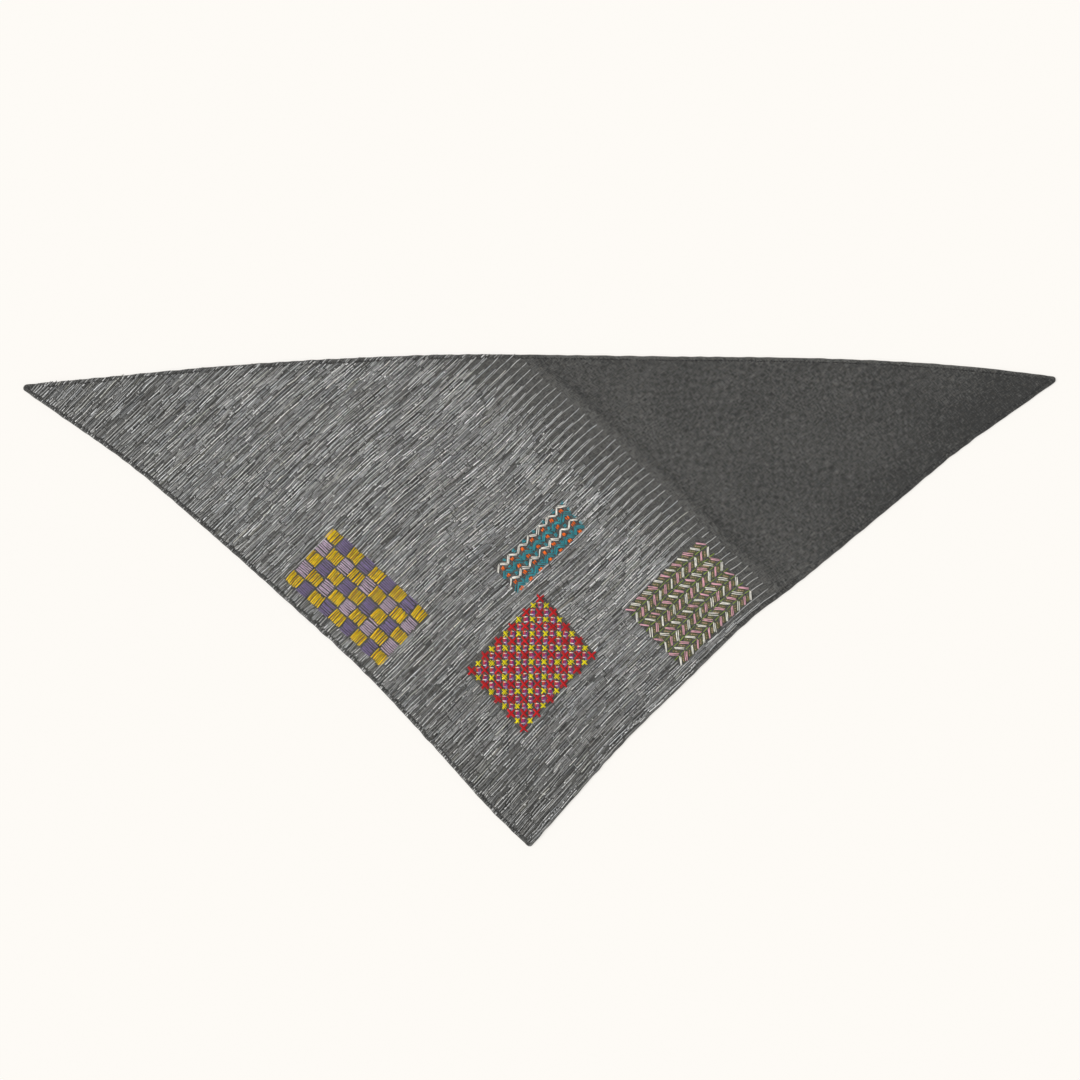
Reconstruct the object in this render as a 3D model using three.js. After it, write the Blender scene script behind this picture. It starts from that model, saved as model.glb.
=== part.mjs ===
// A triangular cotton kerchief, laid flat with its face up, in millimetres.
// The cloth is one thin wall. Its edge turns down over three hem turnings, which lie beneath it.
// X runs along the long edge, Y runs from the lower tip to the long edge, and Z is up.

import * as THREE from "three";

// Corners where the edges would meet if the tips were sharp
const LEFT_CORNER = new THREE.Vector3(-480.5, 196.5, 0);
const LOWER_CORNER = new THREE.Vector3(-8.5, -229, 0);
const RIGHT_CORNER = new THREE.Vector3(481, 204, 0);
const TIP_RADIUS = 3.4;

// Cloth and hem sizes
const CLOTH_THICKNESS = 1.2;
const HEM_THICKNESS = 1.0;
const HEM_WIDTH = 5.4;
const SEAM_GAP = 0.3;
const MITRE_GAP = 0.4;
const TURNED_WALL = 1.3;
const STEP_RUN = 2.6;

// Steps along each edge and around each tip, which is an even number so that a mitre has a point
const EDGE_STEPS = 44;
const TIP_STEPS = 6;

// How far each edge bows out from the straight line between its corners, at shares of that line
const LEFT_EDGE_BOWS = [
  { share: 0.08, bow: -6.5 },
  { share: 0.2, bow: -15.5 },
  { share: 0.35, bow: -18.5 },
  { share: 0.5, bow: -19 },
  { share: 0.65, bow: -18 },
  { share: 0.8, bow: -10 },
  { share: 0.92, bow: -2 },
];
const RIGHT_EDGE_BOWS = [
  { share: 0.08, bow: -6.5 },
  { share: 0.2, bow: -15.5 },
  { share: 0.32, bow: -19.5 },
  { share: 0.45, bow: -23 },
  { share: 0.52, bow: -19.5 },
  { share: 0.7, bow: -15 },
  { share: 0.82, bow: -12.5 },
  { share: 0.93, bow: -5 },
];
const LONG_EDGE_BOWS = [
  { share: 0.08, bow: 9.5 },
  { share: 0.2, bow: 18 },
  { share: 0.38, bow: 22 },
  { share: 0.6, bow: 25 },
  { share: 0.8, bow: 16.5 },
  { share: 0.92, bow: 6.5 },
];

// The three edges in order, counter-clockwise from above, each with the hem that is turned under it
const EDGES = [
  { hem: "hem_left_edge", from: LEFT_CORNER, to: LOWER_CORNER, bows: LEFT_EDGE_BOWS },
  { hem: "hem_right_edge", from: LOWER_CORNER, to: RIGHT_CORNER, bows: RIGHT_EDGE_BOWS },
  { hem: "hem_long_edge", from: RIGHT_CORNER, to: LEFT_CORNER, bows: LONG_EDGE_BOWS },
];

// Heights above the surface and distances in from the edge that follow from the sizes above
const HEM_OUTER = TURNED_WALL + SEAM_GAP;
const HEM_INNER = HEM_OUTER + HEM_WIDTH;
const OVER_HEM = HEM_THICKNESS + SEAM_GAP;
const CREST = OVER_HEM + CLOTH_THICKNESS;

// Section of the panel from the middle of its underside, out around the edge, to the middle of its face
const PANEL_SECTION = [
  { inset: HEM_INNER + SEAM_GAP + STEP_RUN, height: 0 },
  { inset: HEM_INNER + SEAM_GAP, height: OVER_HEM },
  { inset: TURNED_WALL, height: OVER_HEM },
  { inset: TURNED_WALL, height: 0 },
  { inset: TURNED_WALL * 0.35, height: 0 },
  { inset: 0, height: CREST * 0.4 },
  { inset: TURNED_WALL * 0.3, height: CREST * 0.8 },
  { inset: TURNED_WALL, height: CREST * 0.97 },
  { inset: HEM_OUTER + HEM_WIDTH * 0.5, height: CREST },
  { inset: HEM_INNER + SEAM_GAP, height: CREST * 0.98 },
  { inset: HEM_INNER + STEP_RUN * 0.9, height: CLOTH_THICKNESS * 1.35 },
  { inset: HEM_INNER + STEP_RUN * 1.7, height: CLOTH_THICKNESS },
];

// Section of a hem turning, in the same turning sense as the panel's
const HEM_SECTION = [
  { inset: HEM_INNER, height: 0 },
  { inset: HEM_OUTER, height: 0 },
  { inset: HEM_OUTER, height: HEM_THICKNESS },
  { inset: HEM_INNER, height: HEM_THICKNESS },
];

const UP = new THREE.Vector3(0, 0, 1);

// The middle of the circle that touches the three straight edges, and that circle's radius
function incircle(left, lower, right) {
  const oppositeLeft = lower.distanceTo(right);
  const oppositeLower = right.distanceTo(left);
  const oppositeRight = left.distanceTo(lower);
  const perimeter = oppositeLeft + oppositeLower + oppositeRight;
  const centre = new THREE.Vector3()
    .addScaledVector(left, oppositeLeft / perimeter)
    .addScaledVector(lower, oppositeLower / perimeter)
    .addScaledVector(right, oppositeRight / perimeter);
  const area = new THREE.Triangle(left, lower, right).getArea();
  return { centre, radius: (2 * area) / perimeter };
}

// One bowed edge as a curve from corner to corner
function edgeCurve({ from, to, bows }) {
  const chord = to.clone().sub(from);
  const outwards = chord.clone().cross(UP).normalize();
  const between = bows.map(({ share, bow }) =>
    from.clone().addScaledVector(chord, share).addScaledVector(outwards, bow));
  return new THREE.CatmullRomCurve3([from, ...between, to]);
}

// The round tip between the edge that arrives at a corner and the edge that leaves it
function tipArc(corner, arriving, leaving) {
  const turn = arriving.angleTo(leaving);
  const halfAngle = (Math.PI - turn) / 2;
  const towardsCentre = leaving.clone().sub(arriving).normalize();
  const centre = corner.clone().addScaledVector(towardsCentre, TIP_RADIUS / Math.sin(halfAngle));
  const cut = TIP_RADIUS / Math.tan(halfAngle);
  const arm = corner.clone().addScaledVector(arriving, -cut).sub(centre);
  const points = [];
  for (let step = 0; step <= TIP_STEPS; step += 1) {
    points.push(arm.clone().applyAxisAngle(UP, (turn * step) / TIP_STEPS).add(centre));
  }
  return { cut, points };
}

// Points along an edge between the two round tips that shorten it, without its end points
function edgePoints(curve, cutAtStart, cutAtEnd) {
  const length = curve.getLength();
  const points = [];
  for (let step = 1; step < EDGE_STEPS; step += 1) {
    const share = step / EDGE_STEPS;
    const distance = cutAtStart + share * (length - cutAtStart - cutAtEnd);
    points.push(curve.getPointAt(distance / length));
  }
  return points;
}

// The whole outline, as one stretch for each edge: half a tip, the edge, and half of the next tip
function outlineStretches() {
  const curves = EDGES.map(edgeCurve);
  const tips = EDGES.map((edge, index) => {
    const before = curves[(index + curves.length - 1) % curves.length];
    return tipArc(edge.from, before.getTangentAt(1), curves[index].getTangentAt(0));
  });
  return curves.map((curve, index) => {
    const tip = tips[index];
    const nextTip = tips[(index + 1) % tips.length];
    const middle = TIP_STEPS / 2;
    return [
      ...tip.points.slice(middle),
      ...edgePoints(curve, tip.cut, nextTip.cut),
      ...nextTip.points.slice(0, middle + 1),
    ];
  });
}

// Move everything so that the origin is under the middle of the laid cloth
function centreOnOrigin(stretches, circle) {
  const box = new THREE.Box3().setFromPoints(stretches.flat());
  const middle = box.getCenter(new THREE.Vector3());
  const distinct = new Set(stretches.flat());
  distinct.add(circle.centre);
  distinct.forEach((point) => point.sub(middle));
}

// A point of the outline moved in by an inset and up to a height
function insetPoint(point, { inset, height }, circle) {
  return point.clone().lerp(circle.centre, inset / circle.radius).setZ(height);
}

// A closed mesh from its corner points and the numbers of each triangle's corners
function closedGeometry(points, triangles) {
  const geometry = new THREE.BufferGeometry().setFromPoints(points);
  geometry.setIndex(triangles);
  geometry.computeVertexNormals();
  return geometry;
}

// The two triangles between neighbouring points of one row and the next
function quad(row, nextRow, point, nextPoint) {
  return [row + point, row + nextPoint, nextRow + point,
    row + nextPoint, nextRow + nextPoint, nextRow + point];
}

// The panel: rings that follow its section, closed by a fan on the underside and one on the face
function panelGeometry(stretches, circle) {
  const outline = stretches.flatMap((stretch) => stretch.slice(0, -1));
  const count = outline.length;
  const points = PANEL_SECTION.flatMap((row) => outline.map((point) => insetPoint(point, row, circle)));
  const underside = points.length;
  const face = points.length + 1;
  points.push(circle.centre.clone().setZ(0), circle.centre.clone().setZ(CLOTH_THICKNESS));
  const triangles = [];
  for (let index = 0; index < count; index += 1) {
    const next = (index + 1) % count;
    const lastRow = (PANEL_SECTION.length - 1) * count;
    triangles.push(underside, next, index);
    triangles.push(face, lastRow + index, lastRow + next);
    for (let row = 0; row < PANEL_SECTION.length - 1; row += 1) {
      triangles.push(...quad(row * count, (row + 1) * count, index, next));
    }
  }
  return closedGeometry(points, triangles);
}

// A stretch whose two ends stop half a mitre gap short of the middle of the tips
function mitredStretch(stretch) {
  const points = stretch.map((point) => point.clone());
  const last = points.length - 1;
  const pullBack = (end, neighbour) => {
    const share = (MITRE_GAP / 2) / points[end].distanceTo(points[neighbour]);
    points[end].lerp(points[neighbour], share);
  };
  pullBack(0, 1);
  pullBack(last, last - 1);
  return points;
}

// A hem turning: its section carried along its stretch of the outline, with flat mitred ends
function hemGeometry(stretch, circle) {
  const route = mitredStretch(stretch);
  const count = route.length;
  const points = HEM_SECTION.flatMap((row) => route.map((point) => insetPoint(point, row, circle)));
  const rows = HEM_SECTION.map((_, row) => row * count);
  const triangles = [];
  rows.forEach((row, index) => {
    const nextRow = rows[(index + 1) % rows.length];
    for (let point = 0; point < count - 1; point += 1) {
      triangles.push(...quad(row, nextRow, point, point + 1));
    }
  });
  const [innerLow, outerLow, outerHigh, innerHigh] = rows;
  const end = count - 1;
  triangles.push(innerLow, outerLow, outerHigh, innerLow, outerHigh, innerHigh);
  triangles.push(innerLow + end, outerHigh + end, outerLow + end);
  triangles.push(innerLow + end, innerHigh + end, outerHigh + end);
  return closedGeometry(points, triangles);
}

function namedMesh(name, geometry, material) {
  const mesh = new THREE.Mesh(geometry, material);
  mesh.name = name;
  return mesh;
}

const stitchedCloth = new THREE.MeshStandardMaterial({ color: 0x5f5f5d, roughness: 0.92, metalness: 0 });
const plainCloth = new THREE.MeshStandardMaterial({ color: 0x4d4d4b, roughness: 0.95, metalness: 0 });

const circle = incircle(LEFT_CORNER, LOWER_CORNER, RIGHT_CORNER);
const stretches = outlineStretches();
centreOnOrigin(stretches, circle);

const kerchief = new THREE.Group();
kerchief.name = "kerchief";
kerchief.add(namedMesh("cloth_panel", panelGeometry(stretches, circle), stitchedCloth));
EDGES.forEach(({ hem }, index) => {
  kerchief.add(namedMesh(hem, hemGeometry(stretches[index], circle), plainCloth.clone()));
});

export default kerchief;
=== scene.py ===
import logging
import math
from dataclasses import dataclass
from enum import Enum
from functools import cached_property, partialmethod
from typing import Any, Callable, NamedTuple, Optional, Sequence, Union

import bpy
import numpy as np
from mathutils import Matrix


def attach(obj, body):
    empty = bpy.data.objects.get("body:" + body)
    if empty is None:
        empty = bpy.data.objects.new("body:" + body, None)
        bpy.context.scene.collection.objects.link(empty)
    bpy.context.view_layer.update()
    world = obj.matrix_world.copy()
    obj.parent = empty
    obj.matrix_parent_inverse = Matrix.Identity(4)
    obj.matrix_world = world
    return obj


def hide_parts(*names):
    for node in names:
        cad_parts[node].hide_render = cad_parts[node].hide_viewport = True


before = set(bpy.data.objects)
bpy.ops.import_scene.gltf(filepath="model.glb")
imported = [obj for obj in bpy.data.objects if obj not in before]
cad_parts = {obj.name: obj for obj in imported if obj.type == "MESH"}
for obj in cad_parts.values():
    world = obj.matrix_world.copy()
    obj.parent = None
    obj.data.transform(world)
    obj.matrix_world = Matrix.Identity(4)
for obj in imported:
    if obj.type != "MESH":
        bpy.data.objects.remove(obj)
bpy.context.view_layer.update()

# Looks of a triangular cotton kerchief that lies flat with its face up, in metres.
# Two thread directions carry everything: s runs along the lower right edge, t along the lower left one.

MM = 0.001
SEED = 2044
ROOT_TWO = math.sqrt(2)
QUARTER_TURN = math.pi / 2
TINY = 1e-9
CUT_MAP = "cut"
DYE = "dye"

Array = np.ndarray
Object = bpy.types.Object
Material = bpy.types.Material
Socket = bpy.types.NodeSocket
Pair = tuple[float, float]
Triple = tuple[float, float, float]
Number = Union["Value", float]

log = logging.getLogger("kerchief")


# Small helpers

def linear(screen: Sequence[float]) -> Array:
    """Screen colour of 0 to 255 as linear light: (c / 255 + 0.055) / 1.055 to the power 2.4."""
    return ((np.asarray(screen) / 255 + 0.055) / 1.055) ** 2.4


def dyed(tone: Array, tint: Sequence[float] = (0.0, 0.0, 0.0)) -> Array:
    """Screen greys with a tint added to each channel, as linear colours."""
    return linear(np.clip(tone[:, None] + np.asarray(tint), 0, 255))


def smooth_step(value: Array, low: float, high: float) -> Array:
    """Rise from 0 at low to 1 at high along 3x^2 - 2x^3."""
    x = np.clip((value - low) / (high - low), 0, 1)
    return x * x * (3 - 2 * x)


def unit(way: Array) -> Array:
    """The same direction with length 1."""
    return way / np.hypot(*way)


class WaveField:
    """A smooth uneven field over the cut: a sum of sine waves with seeded directions and phases."""

    def __init__(self, seed: int, along: Pair, across: Pair, count: int = 9) -> None:
        """Draw the waves.

        Args:
            seed: added to the script's own seed.
            along: shortest and longest wavelength in the s direction, in mm.
            across: the same in the t direction.
            count: number of waves.
        """
        rng = np.random.default_rng(SEED + seed)
        sign = rng.choice([-1.0, 1.0], count)
        self.along = sign * 2 * np.pi / rng.uniform(*np.array(along) * MM, count)
        self.across = 2 * np.pi / rng.uniform(*np.array(across) * MM, count)
        self.phase = rng.uniform(0, 2 * np.pi, count)

    def at(self, cut: Array) -> Array:
        """Value at points of the cut, with a spread of about 1."""
        angle = cut[..., :1] * self.along + cut[..., 1:] * self.across + self.phase
        return np.sin(angle).sum(-1) * math.sqrt(2 / len(self.phase))


# The laid form of the cloth

class Bow(NamedTuple):
    """How far an edge bows out from its straight line, in mm, at a share of that line."""

    share: float
    out: float


@dataclass(frozen=True)
class EdgeLine:
    """One bowed edge of the laid cloth between two corners that are given in mm."""

    start: Pair
    end: Pair
    bows: Sequence[Bow]
    steps: int = 48

    def knots(self) -> Array:
        """Corner, bowed points and corner: start + share x chord + out x outward normal."""
        start, end = np.array(self.start) * MM, np.array(self.end) * MM
        chord = end - start
        outwards = unit(np.array([chord[1], -chord[0]]))
        return np.vstack([start, *(start + bow.share * chord + bow.out * MM * outwards for bow in self.bows),
                          end])

    @cached_property
    def line(self) -> Array:
        """Centripetal Catmull-Rom curve through the knots, as one fine polyline."""
        knots = self.knots()
        padded = np.vstack([2 * knots[0] - knots[1], knots, 2 * knots[-1] - knots[-2]])
        p0, p1, p2, p3 = (padded[k:k + len(knots) - 1] for k in range(4))
        a, b, c = (np.sqrt(np.linalg.norm(end - start, axis=1))[:, None]
                   for start, end in ((p0, p1), (p1, p2), (p2, p3)))
        leave = ((p1 - p0) / a - (p2 - p0) / (a + b) + (p2 - p1) / b) * b
        arrive = ((p2 - p1) / b - (p3 - p1) / (b + c) + (p3 - p2) / c) * b
        x = (np.arange(self.steps) / self.steps)[:, None, None]
        cubic = (p1 + leave * x + (3 * (p2 - p1) - 2 * leave - arrive) * x ** 2
                 + (2 * (p1 - p2) + leave + arrive) * x ** 3)
        return np.vstack([cubic.transpose(1, 0, 2).reshape(-1, 2), knots[-1]])

    def at(self, share: Array) -> Array:
        """Points at shares of the edge's length, with x and y in a new last axis."""
        length = np.concatenate([[0], np.cumsum(np.linalg.norm(np.diff(self.line, axis=0), axis=1))])
        return np.stack([np.interp(share * length[-1], length, column) for column in self.line.T], -1)


class BorderRow(NamedTuple):
    """Heights of face and underside at a distance in from the edge, in mm."""

    inset: float
    face: float
    under: float


LEFT_CORNER = (-480.5, 196.5)
LOWER_CORNER = (-8.5, -229.0)
RIGHT_CORNER = (481.0, 204.0)

LEFT_EDGE = EdgeLine(LEFT_CORNER, LOWER_CORNER, (
    Bow(0.08, -6.5), Bow(0.2, -15.5), Bow(0.35, -18.5), Bow(0.5, -19.0),
    Bow(0.65, -18.0), Bow(0.8, -10.0), Bow(0.92, -2.0)))
RIGHT_EDGE = EdgeLine(LOWER_CORNER, RIGHT_CORNER, (
    Bow(0.08, -6.5), Bow(0.2, -15.5), Bow(0.32, -19.5), Bow(0.45, -23.0),
    Bow(0.52, -19.5), Bow(0.7, -15.0), Bow(0.82, -12.5), Bow(0.93, -5.0)))
LONG_EDGE = EdgeLine(RIGHT_CORNER, LEFT_CORNER, (
    Bow(0.08, 9.5), Bow(0.2, 18.0), Bow(0.38, 22.0), Bow(0.6, 25.0), Bow(0.8, 16.5), Bow(0.92, 6.5)))
EDGES = (LEFT_EDGE, RIGHT_EDGE, LONG_EDGE)

BORDER_SECTION = (
    BorderRow(0.0, 1.0, 1.0), BorderRow(0.3, 1.85, 0.35), BorderRow(0.8, 2.25, 0.08),
    BorderRow(1.3, 2.42, 0.05), BorderRow(1.5, 2.45, 1.3), BorderRow(2.4, 2.5, 1.3),
    BorderRow(3.3, 2.5, 1.3), BorderRow(4.1, 2.48, 1.3), BorderRow(4.8, 2.48, 1.3),
    BorderRow(5.5, 2.46, 1.3), BorderRow(6.4, 2.42, 1.3), BorderRow(7.4, 2.25, 1.25),
    BorderRow(8.7, 1.75, 0.6), BorderRow(10.2, 1.32, 0.18), BorderRow(12.5, 1.2, 0.15))
BORDER_INSETS, FACE_HEIGHTS, UNDER_HEIGHTS = np.array(BORDER_SECTION).T * MM


@dataclass(frozen=True)
class ClothForm:
    """Where each point of the flat cut lies on the laid cloth, from its distances s and t."""

    leg: float = 643 * MM
    tip_radius: float = 3.4 * MM
    tip_reach: float = 1.2
    comb_at_edge: float = 319.5 * MM
    comb_lean: float = 0.038
    ridge_gap: float = 5.2 * MM
    ridge_sway: float = 0.9 * MM
    ridge_height: float = 1.6 * MM
    ridge_unevenness: float = 0.22
    ridge_near_side: float = 8 * MM
    ridge_far_side: float = 3.4 * MM
    ridge_fade: Pair = (15 * MM, 80 * MM)
    pucker_height: float = 0.16 * MM
    pucker_fade: Pair = (-70 * MM, 0.0)
    ripple_height: float = 0.22 * MM
    ripple_floor: float = 1.2
    relief_border: Pair = (9 * MM, 24 * MM)
    relief_under: float = 0.6
    seam_insets: Triple = (3.5 * MM, 4.1 * MM, 3.9 * MM)
    seam_depth: float = 0.36 * MM
    seam_half_width: float = 0.65 * MM
    wobble_width: float = 0.16 * MM
    gather_height: float = 0.14 * MM
    gather_rise: Pair = (0.0, 2 * MM)
    gather_fall: Pair = (7 * MM, 11 * MM)
    puckers: WaveField = WaveField(1, (60, 140), (9, 20))
    ripples: WaveField = WaveField(2, (40, 120), (40, 120))
    unevenness: WaveField = WaveField(3, (500, 900), (50, 160))
    gathers: WaveField = WaveField(4, (7, 19), (7, 19))
    wobbles: tuple[WaveField, ...] = tuple(WaveField(seed, (11, 40), (11, 40), 12) for seed in (5, 6))

    @property
    def depth(self) -> float:
        """Distance from the right angle of the cut to its long edge: leg / square root of 2."""
        return self.leg / ROOT_TWO

    def past_comb(self, cut: Array) -> Array:
        """Distance beyond the line where the rows start, which leans by comb_lean x t."""
        return cut[..., 0] + self.comb_lean * cut[..., 1] - self.comb_at_edge

    @cached_property
    def middle(self) -> Array:
        """Middle of the laid outline's box, which lies over the origin."""
        outline = np.concatenate([self.rounded(edge.at(np.linspace(0, 1, 4001))) for edge in EDGES])
        return (outline.min(0) + outline.max(0)) / 2

    def insets(self, cut: Array) -> Array:
        """Distances in from the left, right and long edges, in the last axis."""
        oblique = (self.leg - cut[..., 0] - cut[..., 1]) / ROOT_TWO
        return np.stack([cut[..., 0], cut[..., 1], oblique], -1)

    def rounded(self, flat: Array) -> Array:
        """Pull what lies past a round tip in towards its centre, by the cosine that maps line to arc.

        Args:
            flat: laid points, with x and y in the last axis.

        Returns:
            The same points with the three tips rounded.
        """
        for before, after in zip((EDGES[-1], *EDGES), EDGES):
            corner = after.line[0]
            inward, outward = unit(before.line[-2] - corner), unit(after.line[1] - corner)
            bisector = unit(inward + outward)
            half = math.acos(float(np.clip(inward @ bisector, -1, 1)))
            reach = self.tip_radius / math.sin(half)
            centre = corner + bisector * reach
            arm = flat - centre
            distance = np.maximum(np.linalg.norm(arm, axis=-1), TINY)
            angle = np.arccos(np.clip(-(arm @ bisector) / distance, -1, 1))
            limit = QUARTER_TURN - half
            scale = np.where(angle < limit, np.cos(np.maximum(limit - angle, 0)), 1.0)
            near = distance < reach * self.tip_reach
            flat = np.where(near[..., None], centre + arm * scale[..., None], flat)
        return flat

    def spread(self, cut: Array) -> Array:
        """Lay the cut out: right edge at s + left edge at t - lower corner, eased onto the long edge.

        Small wobbles shift every point a little, so that the edges aren't perfectly smooth.

        Args:
            cut: points in cut metres.

        Returns:
            Laid points, with x and y in the last axis.
        """
        share = np.clip(cut / self.leg, 0, 1)
        s, t = share[..., 0], share[..., 1]
        total = np.maximum(s + t, TINY)
        along = s / total
        lower = np.array(LOWER_CORNER) * MM
        laid = RIGHT_EDGE.at(s) + LEFT_EDGE.at(1 - t) - lower
        off_edge = LONG_EDGE.at(1 - along) - (RIGHT_EDGE.at(along) + LEFT_EDGE.at(along) - lower)
        wobble = np.stack([waves.at(cut) for waves in self.wobbles], -1) * self.wobble_width
        return self.rounded(laid + off_edge * (total ** 2)[..., None]) + wobble - self.middle

    def relief(self, cut: Array) -> Array:
        """Soft ridge beside the comb, puckers under the stitching and ripples all over.

        Args:
            cut: points in cut metres.

        Returns:
            Heights in metres, none near the edges.
        """
        past, uneven = self.past_comb(cut), self.unevenness.at(cut)
        off_crest = past - self.ridge_gap - uneven * self.ridge_sway
        side = np.where(off_crest < 0, self.ridge_near_side, self.ridge_far_side)
        ridge = self.ridge_height * (1 + self.ridge_unevenness * uneven) * np.exp(-(off_crest / side) ** 2)
        ridge *= smooth_step(cut[..., 1], *self.ridge_fade)
        pucker = self.pucker_height * self.puckers.at(cut) * (1 - smooth_step(past, *self.pucker_fade))
        ripple = self.ripple_height * (self.ripple_floor + self.ripples.at(cut))
        return (ridge + pucker + ripple) * smooth_step(self.insets(cut).min(-1), *self.relief_border)

    def section(self, cut: Array, heights: Array) -> Array:
        """Height of the border section at the distance of each point from its nearest edge."""
        return np.interp(self.insets(cut).min(-1), BORDER_INSETS, heights)

    def hem_relief(self, cut: Array) -> Array:
        """Groove under the hem's line of stitches, and small gathers between the groove and the fold.

        Args:
            cut: points in cut metres.

        Returns:
            Heights in metres, none inside the hems.
        """
        insets = self.insets(cut)
        nearest = insets.min(-1)
        groove = np.exp(-((insets - np.array(self.seam_insets)) / self.seam_half_width) ** 2)
        hem = (1 - smooth_step(nearest, *self.gather_fall)) * smooth_step(nearest, *self.gather_rise)
        depth = self.seam_depth * (groove * (insets == nearest[..., None])).sum(-1)
        return self.gather_height * self.gathers.at(cut) * hem - depth

    def face(self, cut: Array, lift: Union[float, Array] = 0.0) -> Array:
        """Points on the cloth's face: laid place, and section + reliefs + lift for the height."""
        height = self.section(cut, FACE_HEIGHTS) + self.relief(cut) + self.hem_relief(cut) + lift
        return np.concatenate([self.spread(cut), height[..., None]], -1)

    def under(self, cut: Array, lift: Union[float, Array] = 0.0) -> Array:
        """Points on the underside, which keeps to the surface and only rises under the relief."""
        rise = self.relief_under * np.maximum(self.relief(cut), 0)
        height = self.section(cut, UNDER_HEIGHTS) + rise + lift
        return np.concatenate([self.spread(cut), height[..., None]], -1)


# Meshes from arrays

class MeshArrays(NamedTuple):
    """A mesh as arrays: points, faces by their corner count, cut map and dye of each point."""

    points: Array
    faces: Sequence[Array]
    cut: Array
    dye: Optional[Array] = None


def tube_faces(first: Array, rings: int, sides: int) -> list[Array]:
    """Quads between the rings of closed tubes, and a cap on both ends.

    Point k of ring n has the number first + n x sides + k.

    Args:
        first: number of each tube's first point.
        rings: rings of a tube.
        sides: points of a ring.

    Returns:
        The quads, and the caps.
    """
    side = np.arange(sides)
    here = first[:, None, None] + np.arange(rings - 1)[None, :, None] * sides
    following = (side + 1) % sides
    quads = np.stack([here + side, here + sides + side, here + sides + following, here + following], -1)
    cap = first[:, None] + side
    return [quads.reshape(-1, 4), np.concatenate([cap, cap[:, ::-1] + (rings - 1) * sides])]


def add_object(name: str, data: bpy.types.ID) -> Object:
    """Add a new object at the origin to the scene."""
    added = bpy.data.objects.new(name, data)
    bpy.context.scene.collection.objects.link(added)
    return added


def make_object(name: str, arrays: MeshArrays) -> Object:
    """Put arrays into a new smooth mesh object at the origin.

    Args:
        name: the piece's name.
        arrays: points, faces, cut map and dye.

    Returns:
        The new object.
    """
    mesh = bpy.data.meshes.new(name)
    corners = np.concatenate([face.reshape(-1) for face in arrays.faces]).astype(np.int32)
    totals = np.concatenate([np.full(len(face), face.shape[1]) for face in arrays.faces]).astype(np.int32)
    mesh.vertices.add(len(arrays.points))
    mesh.vertices.foreach_set("co", arrays.points.astype(np.float32).reshape(-1))
    mesh.loops.add(len(corners))
    mesh.loops.foreach_set("vertex_index", corners)
    mesh.polygons.add(len(totals))
    mesh.polygons.foreach_set("loop_start", (np.cumsum(totals) - totals).astype(np.int32))
    mesh.polygons.foreach_set("loop_total", totals)
    mesh.polygons.foreach_set("use_smooth", np.ones(len(totals), bool))
    mesh.uv_layers.new(name=CUT_MAP).data.foreach_set(
        "uv", arrays.cut.astype(np.float32)[corners].reshape(-1))
    if arrays.dye is not None:
        colours = np.concatenate([arrays.dye, np.ones((len(arrays.dye), 1))], 1).astype(np.float32)
        mesh.attributes.new(DYE, "FLOAT_COLOR", "POINT").data.foreach_set("color", colours.reshape(-1))
    mesh.update(calc_edges=True)
    mesh.validate()
    return add_object(name, mesh)


def dress(piece: Object, material: Material,
          replaces: Sequence[str] = ()) -> Object:
    """Give a piece its material, slot and body, and hide the solids that it stands for.

    Args:
        piece: the piece.
        material: its finish.
        replaces: solids that it stands for.

    Returns:
        The same piece.
    """
    piece.data.materials.append(material)
    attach(piece, "root")
    if replaces:
        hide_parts(*replaces)
    log.info("%s: %d faces", piece.name, len(piece.data.polygons))
    return piece


# Shaders

class Value:
    """A number in a shader. Arithmetic on it adds Math nodes."""

    def __init__(self, tree: "Tree", socket: Socket) -> None:
        """Wrap an output socket of a tree."""
        self.tree = tree
        self.socket = socket

    def math(self, operation: str, *others: Number) -> "Value":
        """Result of a Math node on this value and others."""
        return self.tree.math(operation, self, *others)

    def __rsub__(self, other: float) -> "Value":
        """Difference with this value taken away."""
        return self.tree.math("SUBTRACT", other, self)

    __add__ = __radd__ = partialmethod(math, "ADD")
    __sub__ = partialmethod(math, "SUBTRACT")
    __mul__ = __rmul__ = partialmethod(math, "MULTIPLY")
    __truediv__ = partialmethod(math, "DIVIDE")
    sine = partialmethod(math, "SINE")

    def bell(self, centre: float, half_width: float) -> "Value":
        """exp(-((x - centre) / half width)^2)."""
        offset = (self - centre) / half_width
        return (offset * offset * -1.0).math("EXPONENT")

    def ramp(self, low: float, high: float) -> "Value":
        """Rise smoothly from 0 at low to 1 at high."""
        node = self.tree.add("ShaderNodeMapRange", {"interpolation_type": "SMOOTHSTEP"},
                             {"Value": self, "From Min": low, "From Max": high})
        return Value(self.tree, node.outputs["Result"])

    def fall(self, low: float, high: float) -> "Value":
        """Fall smoothly from 1 at low to 0 at high."""
        return 1.0 - self.ramp(low, high)


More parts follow.
